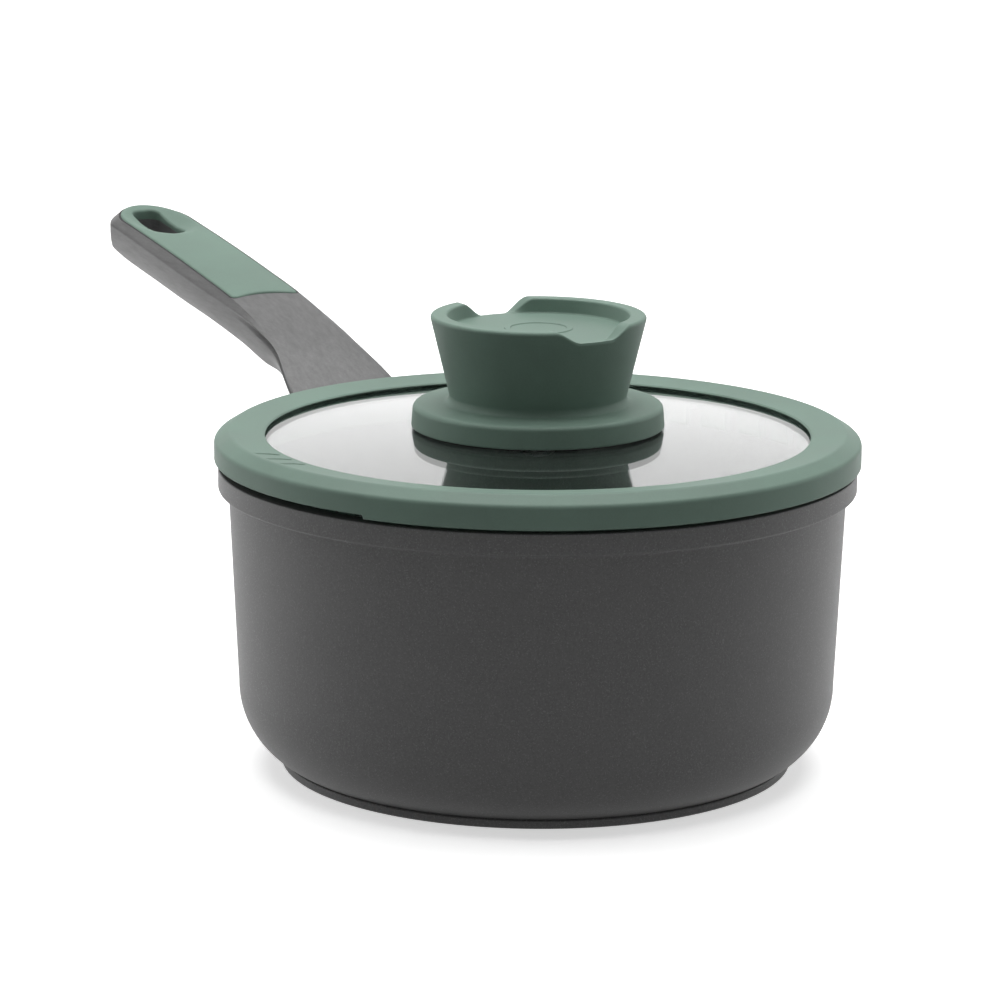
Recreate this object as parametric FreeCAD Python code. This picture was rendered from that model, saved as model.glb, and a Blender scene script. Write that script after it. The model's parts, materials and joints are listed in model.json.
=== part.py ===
import FreeCAD, Part
import math
import os

# Saucepan with a glass lid. Millimetres. Origin on the pan's axis at the surface it stands on,
# +Z up, the handle runs out along -X.

V = FreeCAD.Vector
Z = V(0, 0, 1)

# Pan
RIM_R = 85.5
RIM_Z = 81.5
LIP_Z = 75.8
NECK_R = 82.7
NECK_Z = 75.2
LIP_ROUND = 0.9
WALL_TOP_R = 82.4
WALL_LOW_R = 80.3
CORNER_R = 22.0
FOOT_R = 69.0
FLOOR_Z = 5.0
MOUTH_R = 80.0
PLATE_R = 58.0
PLATE_T = 1.0
PLATE_HOLE_R = 2.0
PLATE_RINGS = ((18.0, 8), (33.0, 16), (48.0, 24))

# Lug that carries the handle, and the screw in it
LUG_END = 102.0
LUG_W = 18.0
LUG_LOW = 54.5
LUG_HIGH = 63.0
SCREW_L = 93.0
INSERT_R = 3.6
INSERT_LEN = 7.0
M5_R = 2.45
M5_BORE_R = 2.5
SEAT_Z = 51.6
COUNTERBORE_R = 5.7
GAP = 0.3

# Handle stations: distance from the axis, top edge height, top width, crease height,
# crease width, underside height, underside width
STATIONS = (
    (70.0, 59.0, 41.0, 57.6, 42.0, 38.0, 24.0),
    (84.0, 65.9, 40.6, 64.6, 41.4, 39.5, 21.0),
    (92.0, 69.9, 39.6, 68.7, 40.2, 43.4, 18.4),
    (100.0, 74.0, 38.0, 72.9, 38.4, 50.6, 16.6),
    (110.0, 79.3, 35.4, 78.3, 35.9, 61.8, 14.6),
    (120.0, 84.6, 31.8, 83.8, 33.0, 72.4, 14.0),
    (135.0, 91.9, 24.8, 91.1, 26.6, 79.8, 14.6),
    (150.0, 96.5, 23.2, 95.4, 25.6, 82.1, 15.6),
    (170.0, 101.0, 22.6, 99.2, 26.3, 85.8, 15.6),
    (190.0, 104.4, 22.6, 102.3, 27.5, 89.1, 15.6),
    (210.0, 107.6, 22.6, 105.4, 27.9, 91.7, 15.6),
    (230.0, 110.5, 22.6, 108.3, 27.7, 94.6, 15.4),
    (250.0, 113.2, 22.6, 111.0, 27.0, 97.4, 15.4),
    (274.0, 116.4, 22.6, 114.3, 26.6, 101.0, 15.0),
)
TIP_L = 264.5
TIP_R = 16.0
BEVEL = 2.2
CHIN_R = 11.0
INLAY_END = 168.5
INLAY_W = 22.4
INLAY_T = 2.0
CARRIER_T = 0.8
HOLE_L = 248.0
HOLE_LEN = 25.0
HOLE_W = 9.0
LINER_T = 1.2
SCOOP_DEPTH = 2.1
SCOOP_ALONG_R = 48.0
SCOOP_ACROSS_R = 20.0

# Lid
SKIRT_R = 86.5
SKIRT_Z = 82.4
VENT_Z = 83.5
VENT_AZ = 271.5
VENT_HALF = 29.0
GLASS_R = 79.0
GLASS_T = 4.0
GLASS_FLAT_R = 73.0
GLASS_FLAT_Z = 88.9
GLASS_TOP_Z = 92.2
GLASS_HOLE_R = 5.0
LIP_R = 72.7
SEAT_GAP = 0.05

# Knob
KNOB_Z = 93.0
KNOB_SKIRT_R = 31.9
KNOB_SKIRT_Z = 92.3
KNOB_TOP = 122.0
KNOB_FLANGE_R = 33.9
KNOB_R = 29.0
DISH_Z = 118.1
DISH_R = 23.4
RUN = 0.05


def profile(points):
    """Closed face in the XZ plane from (r, z, rounding) corners."""
    tangents = []
    count = len(points)
    for i, (r, z, rad) in enumerate(points):
        here = V(r, 0, z)
        if rad == 0:
            tangents.append((here, here, None))
            continue
        back = V(points[i - 1][0], 0, points[i - 1][1]) - here
        ahead = V(points[(i + 1) % count][0], 0, points[(i + 1) % count][1]) - here
        back.normalize()
        ahead.normalize()
        half = back.getAngle(ahead) / 2.0
        reach = rad / math.tan(half)
        middle = back + ahead
        middle.normalize()
        centre = here + middle * (rad / math.sin(half))
        tangents.append((here + back * reach, here + ahead * reach, centre - middle * rad))
    edges = []
    for i, (start, end, middle) in enumerate(tangents):
        if middle is not None:
            edges.append(Part.Arc(start, middle, end).toShape())
        follow = tangents[(i + 1) % count][0]
        if end.distanceToPoint(follow) > 1e-6:
            edges.append(Part.makeLine(end, follow))
    return Part.Face(Part.Wire(edges))


def lathe(points):
    """Solid of revolution about Z."""
    return profile(points).revolve(V(0, 0, 0), Z, 360)


def tube(outer, inner, low, high, at=(0.0, 0.0)):
    base = V(at[0], at[1], low)
    solid = Part.makeCylinder(outer, high - low, base)
    if inner > 0:
        solid = solid.cut(Part.makeCylinder(inner, high - low, base))
    return solid


def sector(inner, outer, low, high, middle, half):
    """Part of a ring, between two angles either side of the middle one."""
    ring = Part.makeCylinder(outer, high - low, V(0, 0, low), Z, 2.0 * half)
    ring = ring.cut(Part.makeCylinder(inner, high - low, V(0, 0, low)))
    ring.rotate(V(0, 0, 0), Z, middle - half)
    return ring


def slab(length, width, low, high, centre_l, radius):
    """Upright block with rounded corners, centred on the handle's line."""
    x = -centre_l
    box = Part.makeBox(length, width, high - low, V(x - length / 2.0, -width / 2.0, low))
    upright = [e for e in box.Edges if abs(e.tangentAt(e.FirstParameter).z) > 0.9]
    return box.makeFillet(radius, upright)


def glass_height(r):
    """Height of the glass's upper face at a radius inside the flat edge."""
    return GLASS_TOP_Z - (GLASS_TOP_Z - GLASS_FLAT_Z) * (r / GLASS_FLAT_R) ** 2


# ---------------------------------------------------------------- pan
corner_c = (WALL_LOW_R - CORNER_R, CORNER_R)
step_z = 2.5
step_r = corner_c[0] + math.sqrt(CORNER_R ** 2 - (corner_c[1] - step_z) ** 2)


def pan_section():
    """Outside and inside of the cast bowl."""
    def point(r, z):
        return V(r, 0, z)

    def arc(cx, cz, radius, low, high):
        angles = (math.radians(low), math.radians((low + high) / 2.0), math.radians(high))
        spots = [point(cx + radius * math.cos(a), cz + radius * math.sin(a)) for a in angles]
        return Part.Arc(*spots).toShape()

    start = math.degrees(math.asin((step_z - CORNER_R) / CORNER_R))
    inner_r = 18.0
    inner_wall = WALL_LOW_R - 2.7
    outline = [
        point(0, FLOOR_Z), point(0, PLATE_T + 0.1), point(PLATE_R + 0.15, PLATE_T + 0.1),
        point(PLATE_R + 0.15, 0), point(FOOT_R - 0.9, 0), point(FOOT_R, 0.9),
        point(FOOT_R, 2.0), point(step_r, step_z),
    ]
    edges = [Part.makeLine(a, b) for a, b in zip(outline[:-1], outline[1:])]
    edges.append(arc(corner_c[0], corner_c[1], CORNER_R, start, 0.0))
    upper = [
        point(WALL_LOW_R, CORNER_R), point(WALL_TOP_R, 68.0), point(NECK_R, NECK_Z),
        point(RIM_R, LIP_Z), point(RIM_R, RIM_Z - LIP_ROUND),
    ]
    edges += [Part.makeLine(a, b) for a, b in zip(upper[:-1], upper[1:])]
    edges.append(arc(RIM_R - LIP_ROUND, RIM_Z - LIP_ROUND, LIP_ROUND, 0.0, 90.0))
    edges.append(Part.makeLine(point(RIM_R - LIP_ROUND, RIM_Z), point(MOUTH_R + 0.9, RIM_Z)))
    edges.append(arc(MOUTH_R + 0.9, RIM_Z - 0.9, 0.9, 90.0, 180.0))
    edges.append(Part.makeLine(point(MOUTH_R, RIM_Z - 0.9), point(MOUTH_R - 0.3, 66.0)))
    edges.append(Part.makeLine(point(MOUTH_R - 0.3, 66.0), point(inner_wall, FLOOR_Z + inner_r)))
    edges.append(arc(inner_wall - inner_r, FLOOR_Z + inner_r, inner_r, 0.0, -90.0))
    edges.append(Part.makeLine(point(inner_wall - inner_r, FLOOR_Z), point(0, FLOOR_Z)))
    return Part.Face(Part.Wire(edges))


bowl = pan_section().revolve(V(0, 0, 0), Z, 360)
outside = lathe([
    (0, 0, 0), (FOOT_R + GAP, 0, 0), (FOOT_R + GAP, step_z, 0), (WALL_LOW_R + GAP, CORNER_R - 4, 8.0),
    (WALL_TOP_R + GAP, 68.0, 0), (NECK_R + GAP, NECK_Z - GAP, 0), (RIM_R + GAP, LIP_Z - GAP, 0),
    (RIM_R + GAP, 90.0, 0), (0, 90.0, 0),
])

lug_height = LUG_HIGH - LUG_LOW
lug = slab(LUG_END - 70.0, LUG_W, LUG_LOW, LUG_HIGH, (LUG_END + 70.0) / 2.0, 3.0)
lug = lug.cut(Part.makeCylinder(WALL_LOW_R, 80.0, V(0, 0, 20.0)))
lug_hole = tube(INSERT_R, 0, LUG_LOW - 1, LUG_LOW + INSERT_LEN, (-SCREW_L, 0))
pan_body = bowl.fuse(lug).removeSplitter().cut(lug_hole)

induction_plate = tube(PLATE_R, 0, 0, PLATE_T)
for ring_r, number in PLATE_RINGS:
    for i in range(number):
        angle = 2.0 * math.pi * i / number
        spot = (ring_r * math.cos(angle), ring_r * math.sin(angle))
        induction_plate = induction_plate.cut(tube(PLATE_HOLE_R, 0, -1, PLATE_T + 1, spot))

# ---------------------------------------------------------------- handle
def ease(share):
    """Smooth rise from 0 to 1."""
    share = min(1.0, max(0.0, share))
    return share * share * (3.0 - 2.0 * share)


def section(station):
    """Cross-section of the handle: flat top, short bevels to the crease, rounded belly."""
    reach, top_z, top_w, crease_z, crease_w, low_z, low_w = station
    x = -reach
    bulge = 0.6 * ease((168.0 - reach) / 30.0)
    upper_half = crease_w * (0.46 + 0.06 * bulge)
    lower_half = low_w / 2.0 + (crease_w - low_w) * (0.16 + 0.2 * bulge)
    near_top = V(x, -top_w / 2.0, top_z)
    far_top = V(x, top_w / 2.0, top_z)
    near = V(x, -crease_w / 2.0, crease_z)
    far = V(x, crease_w / 2.0, crease_z)
    depth = crease_z - low_z
    belly = Part.BSplineCurve()
    belly.interpolate([
        far,
        V(x, upper_half, crease_z - depth * 0.35),
        V(x, lower_half, crease_z - depth * 0.78),
        V(x, low_w * 0.27, low_z + depth * 0.02),
        V(x, -low_w * 0.27, low_z + depth * 0.02),
        V(x, -lower_half, crease_z - depth * 0.78),
        V(x, -upper_half, crease_z - depth * 0.35),
        near,
    ])
    return Part.Wire([
        Part.makeLine(near, near_top),
        Part.makeLine(near_top, far_top),
        Part.makeLine(far_top, far),
        belly.toShape(),
    ])


def outline(end_l, tip_l, width, tip_r, z, bay=0.0):
    """Plan outline of the handle: straight sides, half-ellipse tip, shallow bay at the inner end."""
    half = width / 2.0
    edge_l = tip_l - tip_r
    tip = Part.BSplineCurve()
    angles = [math.radians(-90.0 + 15.0 * i) for i in range(13)]
    tip.interpolate([V(-edge_l - tip_r * math.cos(a), half * math.sin(a), z) for a in angles])
    near_end = V(-end_l, -half, z)
    far_end = V(-end_l, half, z)
    edges = [
        Part.makeLine(near_end, V(-edge_l, -half, z)),
        tip.toShape(),
        Part.makeLine(V(-edge_l, half, z), far_end),
    ]
    if bay > 0:
        edges.append(Part.Arc(far_end, V(-end_l - bay, 0, z), near_end).toShape())
    else:
        edges.append(Part.makeLine(far_end, near_end))
    return Part.Wire(edges)


def plan(end_l, tip_l, width, tip_r, low, high, bay):
    """Upright prism on the handle's plan outline."""
    return Part.Face(outline(end_l, tip_l, width, tip_r, low, bay)).extrude(V(0, 0, high - low))


def top_height(reach):
    """Height of the handle's top edge at a distance from the axis, along straight stations."""
    for a, b in zip(STATIONS[:-1], STATIONS[1:]):
        if a[0] <= reach <= b[0]:
            share = (reach - a[0]) / (b[0] - a[0])
            return a[1] + share * (b[1] - a[1])
    return STATIONS[-1][1]


def above(drop):
    """Everything above the handle's top lowered by a drop, from the inlay's end outwards."""
    reaches = [150.0, 170.0, 190.0, 210.0, 230.0, 250.0, 274.0]
    curve = Part.BSplineCurve()
    curve.interpolate([V(-r, -30, top_height(r) - drop) for r in reaches])
    low = curve.toShape()
    first = V(-reaches[0], -30, top_height(reaches[0]) - drop)
    last = V(-reaches[-1], -30, top_height(reaches[-1]) - drop)
    lines = [
        Part.makeLine(last, V(last.x, -30, 140)),
        Part.makeLine(V(last.x, -30, 140), V(first.x, -30, 140)),
        Part.makeLine(V(first.x, -30, 140), first),
    ]
    return Part.Face(Part.Wire([low] + lines)).extrude(V(0, 60, 0))


grip = Part.makeLoft([section(s) for s in STATIONS], True, False)
crease_z = top_height(TIP_L - 8.0) - BEVEL
draft = Part.makeLoft([
    outline(150.0, TIP_L + BEVEL + 12.0, 26.8 + 24.0, TIP_R + 12.0, crease_z - 12.0),
    outline(150.0, TIP_L + BEVEL - 8.0, 26.8 - 16.0, TIP_R - 8.0, crease_z + 8.0),
], True, True)
tip_zone = Part.makeBox(60, 60, 60, V(-TIP_L - 22, -30, 80))
beyond = tip_zone.cut(plan(150.0, TIP_L + BEVEL, 28.2, TIP_R + 1.0, 80.0, 140.0, 0))
above_bevel = Part.makeBox(34, 60, 8, V(-TIP_L - 10, -30, crease_z - 0.6)).cut(draft)
chin_base = V(-TIP_L - BEVEL + CHIN_R, -30, crease_z)
chin = Part.makeCylinder(CHIN_R + 30.0, 60, chin_base, V(0, 1, 0))
chin = chin.cut(Part.makeCylinder(CHIN_R, 60, chin_base, V(0, 1, 0)))
chin = chin.common(Part.makeBox(CHIN_R + 10, 60, 60, V(-TIP_L - BEVEL - 10, -30, chin_base.z - 60.0)))
grip = grip.cut(beyond).cut(above_bevel).cut(chin).cut(outside)

hole_low = slab(HOLE_LEN, HOLE_W, 80.0, 130.0, HOLE_L, 3.4)
hole_liner = slab(HOLE_LEN + 2 * LINER_T, HOLE_W + 2 * LINER_T, 80.0, 130.0, HOLE_L, 4.6)
hole_wide = slab(HOLE_LEN + 2 * LINER_T + 0.2, HOLE_W + 2 * LINER_T + 0.2, 80.0, 130.0, HOLE_L, 4.7)

inlay_plan = plan(INLAY_END, TIP_L, INLAY_W, TIP_R, 80.0, 130.0, 2.4)
pocket_plan = plan(INLAY_END - 0.2, TIP_L + 0.2, INLAY_W + 0.3, TIP_R + 0.2, 80.0, 130.0, 2.4)
carrier_plan = plan(INLAY_END + 0.1, TIP_L - 0.1, INLAY_W + 0.1, TIP_R, 80.0, 130.0, 2.4)

skin = grip.common(inlay_plan).common(above(INLAY_T))
scoop_l = HOLE_L + 1.0
top_slope = (top_height(scoop_l + 7.0) - top_height(scoop_l - 7.0)) / 14.0
rise = SCOOP_ALONG_R / math.hypot(1.0, top_slope)
dish = Part.makeTorus(SCOOP_ALONG_R - SCOOP_ACROSS_R, SCOOP_ACROSS_R)
dish.rotate(V(0, 0, 0), V(1, 0, 0), 90)
dish.translate(V(-scoop_l + rise * top_slope, 0, top_height(scoop_l) - SCOOP_DEPTH + rise))
liner_low = grip.common(hole_liner).cut(above(INLAY_T)).common(
    Part.makeBox(60, 40, 60, V(-280, -20, top_height(HOLE_L) - 11.5)))
handle_inlay = skin.fuse(liner_low).cut(dish).cut(hole_low).removeSplitter()

carrier = grip.common(carrier_plan).common(above(INLAY_T + CARRIER_T)).cut(above(INLAY_T + 0.02))
inlay_carrier = carrier.cut(hole_wide)

pocket = pocket_plan.common(above(INLAY_T + CARRIER_T + 0.05))
liner_space = hole_wide.common(Part.makeBox(60, 40, 60, V(-280, -20, top_height(HOLE_L) - 11.7)))
socket = slab(LUG_END - 70.0 + 2 * GAP, LUG_W + 2 * GAP, LUG_LOW - GAP, LUG_HIGH + GAP,
              (LUG_END + 70.0) / 2.0, 3.0)
counterbore = tube(COUNTERBORE_R, 0, 30.0, SEAT_Z, (-SCREW_L, 0))
clearance_hole = tube(2.8, 0, SEAT_Z - 1, LUG_LOW, (-SCREW_L, 0))
handle_body = grip.cut(pocket).cut(liner_space).cut(hole_low).cut(socket)
handle_body = handle_body.cut(counterbore).cut(clearance_hole)

# ---------------------------------------------------------------- handle fixings
lug_insert = tube(INSERT_R - 0.02, M5_BORE_R, LUG_LOW, LUG_LOW + INSERT_LEN - 0.1, (-SCREW_L, 0))
washer_low = SEAT_Z - 1.02
spring_low = washer_low - 1.22
head_low = spring_low - 3.2
handle_flat_washer = tube(5.0, 2.65, washer_low, SEAT_Z - 0.02, (-SCREW_L, 0))
handle_spring_washer = tube(4.4, 2.65, spring_low, washer_low - 0.02, (-SCREW_L, 0))
ring_slit = Part.makeBox(3.0, 0.8, 3.0, V(-SCREW_L + 2.0, -0.4, spring_low - 1))
handle_spring_washer = handle_spring_washer.cut(ring_slit)


def pan_head_screw(length, head_r, head_t, head_base, at, up):
    """Screw with a domed head and a cross recess; the shank points up or down from the head."""
    sign = 1.0 if up else -1.0
    head = Part.makeCylinder(head_r, head_t, V(at[0], at[1], 0))
    rims = [e for e in head.Edges if e.Curve.TypeId == "Part::GeomCircle"]
    low_rims = [e for e in rims if e.BoundBox.ZMax < 0.01]
    head = head.makeFillet(head_t * 0.45, low_rims)
    for turn in (0.0, 90.0):
        bar = Part.makeBox(head_r * 1.1, 1.1, 1.6, V(at[0] - head_r * 0.55, at[1] - 0.55, -0.01))
        bar.rotate(V(at[0], at[1], 0), Z, turn)
        head = head.cut(bar)
    shank = Part.makeCylinder(M5_R, length, V(at[0], at[1], head_t - 0.5))
    tip = [e for e in shank.Edges if e.BoundBox.ZMin > head_t + length - 1.0]
    shank = shank.makeChamfer(0.5, tip)
    screw = head.fuse(shank).removeSplitter()
    if sign < 0:
        screw.rotate(V(at[0], at[1], 0), V(1, 0, 0), 180)
    screw.translate(V(0, 0, head_base))
    return screw


handle_screw = pan_head_screw(11.0, 4.4, 3.2, head_low, (-SCREW_L, 0), True)
plug_top = head_low - 0.3
handle_screw_plug = tube(COUNTERBORE_R - 0.05, 0, 30.0, plug_top, (-SCREW_L, 0)).common(grip)

# ---------------------------------------------------------------- lid
def glass_solid():
    """Dished glass with a flat edge and a central hole."""
    def point(r, z):
        return V(r, 0, z)

    middle_r = (GLASS_FLAT_R + GLASS_HOLE_R) / 2.0
    hole_z = glass_height(GLASS_HOLE_R)
    edge = GLASS_R
    top = [point(GLASS_HOLE_R, hole_z), point(middle_r, glass_height(middle_r)),
           point(GLASS_FLAT_R, GLASS_FLAT_Z)]
    low = [p - V(0, 0, GLASS_T) for p in top]
    edges = [
        Part.Arc(*top).toShape(),
        Part.makeLine(top[2], point(edge - 1.5, GLASS_FLAT_Z)),
        Part.Arc(point(edge - 1.5, GLASS_FLAT_Z), point(edge, GLASS_FLAT_Z - GLASS_T / 2.0),
                 point(edge - 1.5, GLASS_FLAT_Z - GLASS_T)).toShape(),
        Part.makeLine(point(edge - 1.5, GLASS_FLAT_Z - GLASS_T), low[2]),
        Part.Arc(low[2], low[1], low[0]).toShape(),
        Part.makeLine(low[0], top[0]),
    ]
    return Part.Face(Part.Wire(edges)).revolve(V(0, 0, 0), Z, 360)


lid_glass = glass_solid()

seat_z = RIM_Z + SEAT_GAP
groove_r = GLASS_R + 0.05
groove_high = GLASS_FLAT_Z + 0.05
groove_low = GLASS_FLAT_Z - GLASS_T - 0.05
lid_rim = lathe([
    (SKIRT_R, SKIRT_Z, 0.5), (SKIRT_R, 88.6, 1.6), (82.4, 91.1, 1.6), (73.4, 90.1, 0.6),
    (LIP_R, 89.7, 0.3), (LIP_R, groove_high, 0), (groove_r, groove_high, 0), (groove_r, groove_low, 0),
    (73.6, groove_low, 0), (73.6, 83.6, 0.5), (77.0, 82.6, 1.0), (77.6, 76.8, 0.6), (79.2, 76.8, 0.6),
    (79.4, seat_z, 0), (83.4, seat_z, 0.3), (83.7, SKIRT_Z + 0.3, 0.3),
])

for middle, width, number in ((VENT_AZ, 3.0, 9), (VENT_AZ - 180.0, 5.0, 6)):
    lid_rim = lid_rim.cut(sector(79.6, 90.0, 79.0, VENT_Z, middle, VENT_HALF))
    for i in range(number):
        angle = middle + (i - (number - 1) / 2.0) * (2.0 * VENT_HALF - 8.0) / (number - 1)
        slot = Part.makeBox(5.0, width, 7.0, V(76.0, -width / 2.0, 76.0))
        ends = [e for e in slot.Edges if abs(e.tangentAt(e.FirstParameter).x) > 0.9]
        upper_ends = [e for e in ends if e.BoundBox.ZMin > 81.0]
        slot = slot.makeFillet(width * 0.3, upper_ends)
        slot.rotate(V(0, 0, 0), Z, angle)
        lid_rim = lid_rim.cut(slot)

for outer_r, outer_az, inner_r, inner_az in ((80.2, -5.5, 75.7, -4.0), (79.6, 0.0, 75.5, 1.2),
                                             (79.3, 5.0, 75.9, 6.6)):
    out_a = math.radians(VENT_AZ + outer_az)
    in_a = math.radians(VENT_AZ + inner_az)
    start = V(outer_r * math.cos(out_a), outer_r * math.sin(out_a), 90.2)
    end = V(inner_r * math.cos(in_a), inner_r * math.sin(in_a), 90.2)
    run = end - start
    mark = Part.makeBox(run.Length, 1.0, 3.0, V(0, -0.5, 0))
    mark.rotate(V(0, 0, 0), Z, math.degrees(math.atan2(run.y, run.x)))
    mark.translate(V(start.x, start.y, 89.95))
    lid_rim = lid_rim.cut(mark)

# ---------------------------------------------------------------- knob
gasket_radii = (6.5, 11.5, 16.5, 21.5, 26.5, 31.6)
gasket_under = [(r, glass_height(r) + 0.06, 0) for r in gasket_radii]
knob_gasket = lathe(gasket_under + [(31.6, KNOB_Z - 0.02, 0), (6.5, KNOB_Z - 0.02, 0)])

knob_core = lathe([
    (0, KNOB_Z, 0), (30.6, KNOB_Z, 0), (30.6, 95.2, 0.8), (20.6, 96.2, 2.0), (21.4, 114.6, 1.5), (0, 114.6, 0),
])
insert_hole = tube(4.5, 0, KNOB_Z - 1, 108.0)
knob_core = knob_core.cut(insert_hole)

cover_outer = lathe([
    (0, KNOB_Z, 0), (KNOB_SKIRT_R, KNOB_Z, 0), (KNOB_SKIRT_R, KNOB_SKIRT_Z, 0.2),
    (KNOB_FLANGE_R, KNOB_SKIRT_Z, 0.5), (33.4, 97.9, 1.4), (23.3, 98.5, 1.8),
    (KNOB_R, KNOB_TOP, 0.9), (24.4, KNOB_TOP, 0.7), (DISH_R, DISH_Z, 0.6), (0, DISH_Z, 0),
])
core_space = lathe([
    (0, KNOB_Z - 1, 0), (30.65, KNOB_Z - 1, 0), (30.65, 95.25, 0.8), (20.65, 96.25, 2.0),
    (21.45, 114.65, 1.5), (0, 114.65, 0),
])
knob_cover = cover_outer.cut(core_space)
for azimuth, chord in ((180.0, 19.0), (0.0, 25.0)):
    bite = Part.makeBox(20.0, chord, 12.0, V(14.0, -chord / 2.0, DISH_Z))
    along = [e for e in bite.Edges if abs(e.tangentAt(e.FirstParameter).x) > 0.9]
    low_edges = [e for e in along if e.BoundBox.ZMax < DISH_Z + 1.0]
    bite = bite.makeFillet(3.0, low_edges)
    bite.rotate(V(0, 0, 0), Z, azimuth)
    knob_cover = knob_cover.cut(bite)

knob_insert = tube(4.48, M5_R + RUN, KNOB_Z + 0.02, 107.9)
glass_grommet = lathe([
    (3.2, 91.9, 0), (GLASS_HOLE_R - 0.03, 91.9, 0), (GLASS_HOLE_R - 0.03, 88.12, 0), (9.0, 88.05, 0),
    (9.0, 87.0, 0.3), (3.2, 87.0, 0),
])
knob_washer = tube(8.0, M5_R + 0.15, 85.9, 86.95)
knob_spring_washer = tube(4.6, M5_R + 0.15, 84.6, 85.85)
knob_spring_washer = knob_spring_washer.cut(Part.makeBox(4.0, 0.8, 3.0, V(2.0, -0.4, 84.0)))
knob_screw = pan_head_screw(20.5, 4.6, 3.2, 81.35, (0, 0), True)

# ---------------------------------------------------------------- files
parts = {
    "pan_body": pan_body,
    "induction_plate": induction_plate,
    "lug_insert": lug_insert,
    "handle_body": handle_body,
    "inlay_carrier": inlay_carrier,
    "handle_inlay": handle_inlay,
    "handle_screw": handle_screw,
    "handle_flat_washer": handle_flat_washer,
    "handle_spring_washer": handle_spring_washer,
    "handle_screw_plug": handle_screw_plug,
    "lid_glass": lid_glass,
    "lid_rim": lid_rim,
    "glass_grommet": glass_grommet,
    "knob_gasket": knob_gasket,
    "knob_cover": knob_cover,
    "knob_core": knob_core,
    "knob_insert": knob_insert,
    "knob_screw": knob_screw,
    "knob_washer": knob_washer,
    "knob_spring_washer": knob_spring_washer,
}

os.makedirs("parts", exist_ok=True)
for name, shape in parts.items():
    solids = shape.Solids
    if len(solids) != 1 or not shape.isValid():
        print(name, "solids", len(solids), "valid", shape.isValid())
    solids[0].exportStep("parts/%s.step" % name)
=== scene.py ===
import json
import math

import bmesh
import bpy
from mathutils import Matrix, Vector, geometry


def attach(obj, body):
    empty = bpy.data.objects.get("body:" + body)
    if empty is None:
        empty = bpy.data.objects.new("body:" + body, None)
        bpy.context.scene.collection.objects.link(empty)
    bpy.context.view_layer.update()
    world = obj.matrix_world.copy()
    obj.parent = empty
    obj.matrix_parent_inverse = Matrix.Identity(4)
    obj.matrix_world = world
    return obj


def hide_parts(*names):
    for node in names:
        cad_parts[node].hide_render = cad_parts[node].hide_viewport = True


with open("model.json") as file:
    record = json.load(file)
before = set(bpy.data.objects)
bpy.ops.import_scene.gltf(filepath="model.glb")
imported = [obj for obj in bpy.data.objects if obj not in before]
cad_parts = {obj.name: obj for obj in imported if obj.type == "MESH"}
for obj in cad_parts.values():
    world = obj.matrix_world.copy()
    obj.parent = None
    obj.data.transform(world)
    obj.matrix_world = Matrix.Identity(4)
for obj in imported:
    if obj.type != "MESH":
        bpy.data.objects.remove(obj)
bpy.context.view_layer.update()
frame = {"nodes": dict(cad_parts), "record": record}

# Shapes below are written in millimetres on the part's own frame and scaled to metres.
MM = 0.001

# ------------------------------------------------------------------ sizes (mm)
# Pan
RIM_R, RIM_Z, LIP_Z = 85.5, 81.5, 75.8
NECK_R, NECK_Z = 82.7, 75.2
WALL_TOP_R, WALL_TOP_Z = 82.4, 68.0
WALL_LOW_R, CORNER_R = 80.3, 22.0
FOOT_R, STEP_Z = 69.0, 2.5
FLOOR_Z, MOUTH_R = 5.0, 80.0
INNER_LOW_R, INNER_CORNER_R = 77.6, 18.0
PLATE_R, PLATE_T = 58.0, 1.0
LUG_END, LUG_W, LUG_LOW, LUG_HIGH = 102.0, 18.0, 54.5, 63.0
SCREW_L = 93.0

# Handle stations: distance from the axis, top edge height and width, crease height and width,
# underside height and width
STATIONS = (
    (70.0, 59.0, 41.0, 57.6, 42.0, 38.0, 24.0),
    (84.0, 65.9, 40.6, 64.6, 41.4, 39.5, 21.0),
    (92.0, 69.9, 39.6, 68.7, 40.2, 43.4, 18.4),
    (100.0, 74.0, 38.0, 72.9, 38.4, 50.6, 16.6),
    (110.0, 79.3, 35.4, 78.3, 35.9, 62.0, 15.0),
    (120.0, 84.6, 31.8, 83.8, 33.0, 73.4, 14.0),
    (135.0, 91.9, 24.8, 91.1, 26.6, 80.8, 14.6),
    (150.0, 96.5, 23.2, 95.4, 25.6, 82.1, 15.6),
    (170.0, 101.0, 22.6, 99.2, 26.3, 85.8, 15.6),
    (190.0, 104.4, 22.6, 102.3, 27.5, 89.1, 15.6),
    (210.0, 107.6, 22.6, 105.4, 27.9, 91.7, 15.6),
    (230.0, 110.5, 22.6, 108.3, 27.7, 94.6, 15.4),
    (250.0, 113.2, 22.6, 111.0, 27.0, 97.4, 15.4),
    (274.0, 116.4, 22.6, 114.3, 26.6, 101.0, 15.0),
)
TIP_L, TIP_R, BEVEL, CHIN_R = 264.5, 16.0, 2.2, 11.0
TIP_HALF = 14.1
ROOT_L = 82.6
INLAY_END, INLAY_BAY = 168.5, 2.4
INLAY_HALF = 11.2
INLAY_T, CARRIER_T = 2.0, 0.8
HOLE_L, HOLE_LEN, HOLE_W, HOLE_CORNER = 248.0, 25.0, 9.0, 3.4
LINER_T, LINER_DEEP = 1.2, 3.05
COUNTERBORE_R, CLEARANCE_R, SCREW_SEAT_Z = 5.7, 2.8, 51.6
LUG_GAP = 0.3
ABOVE_HANDLE = 135.0
NO_LIMIT = 1e3

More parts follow.
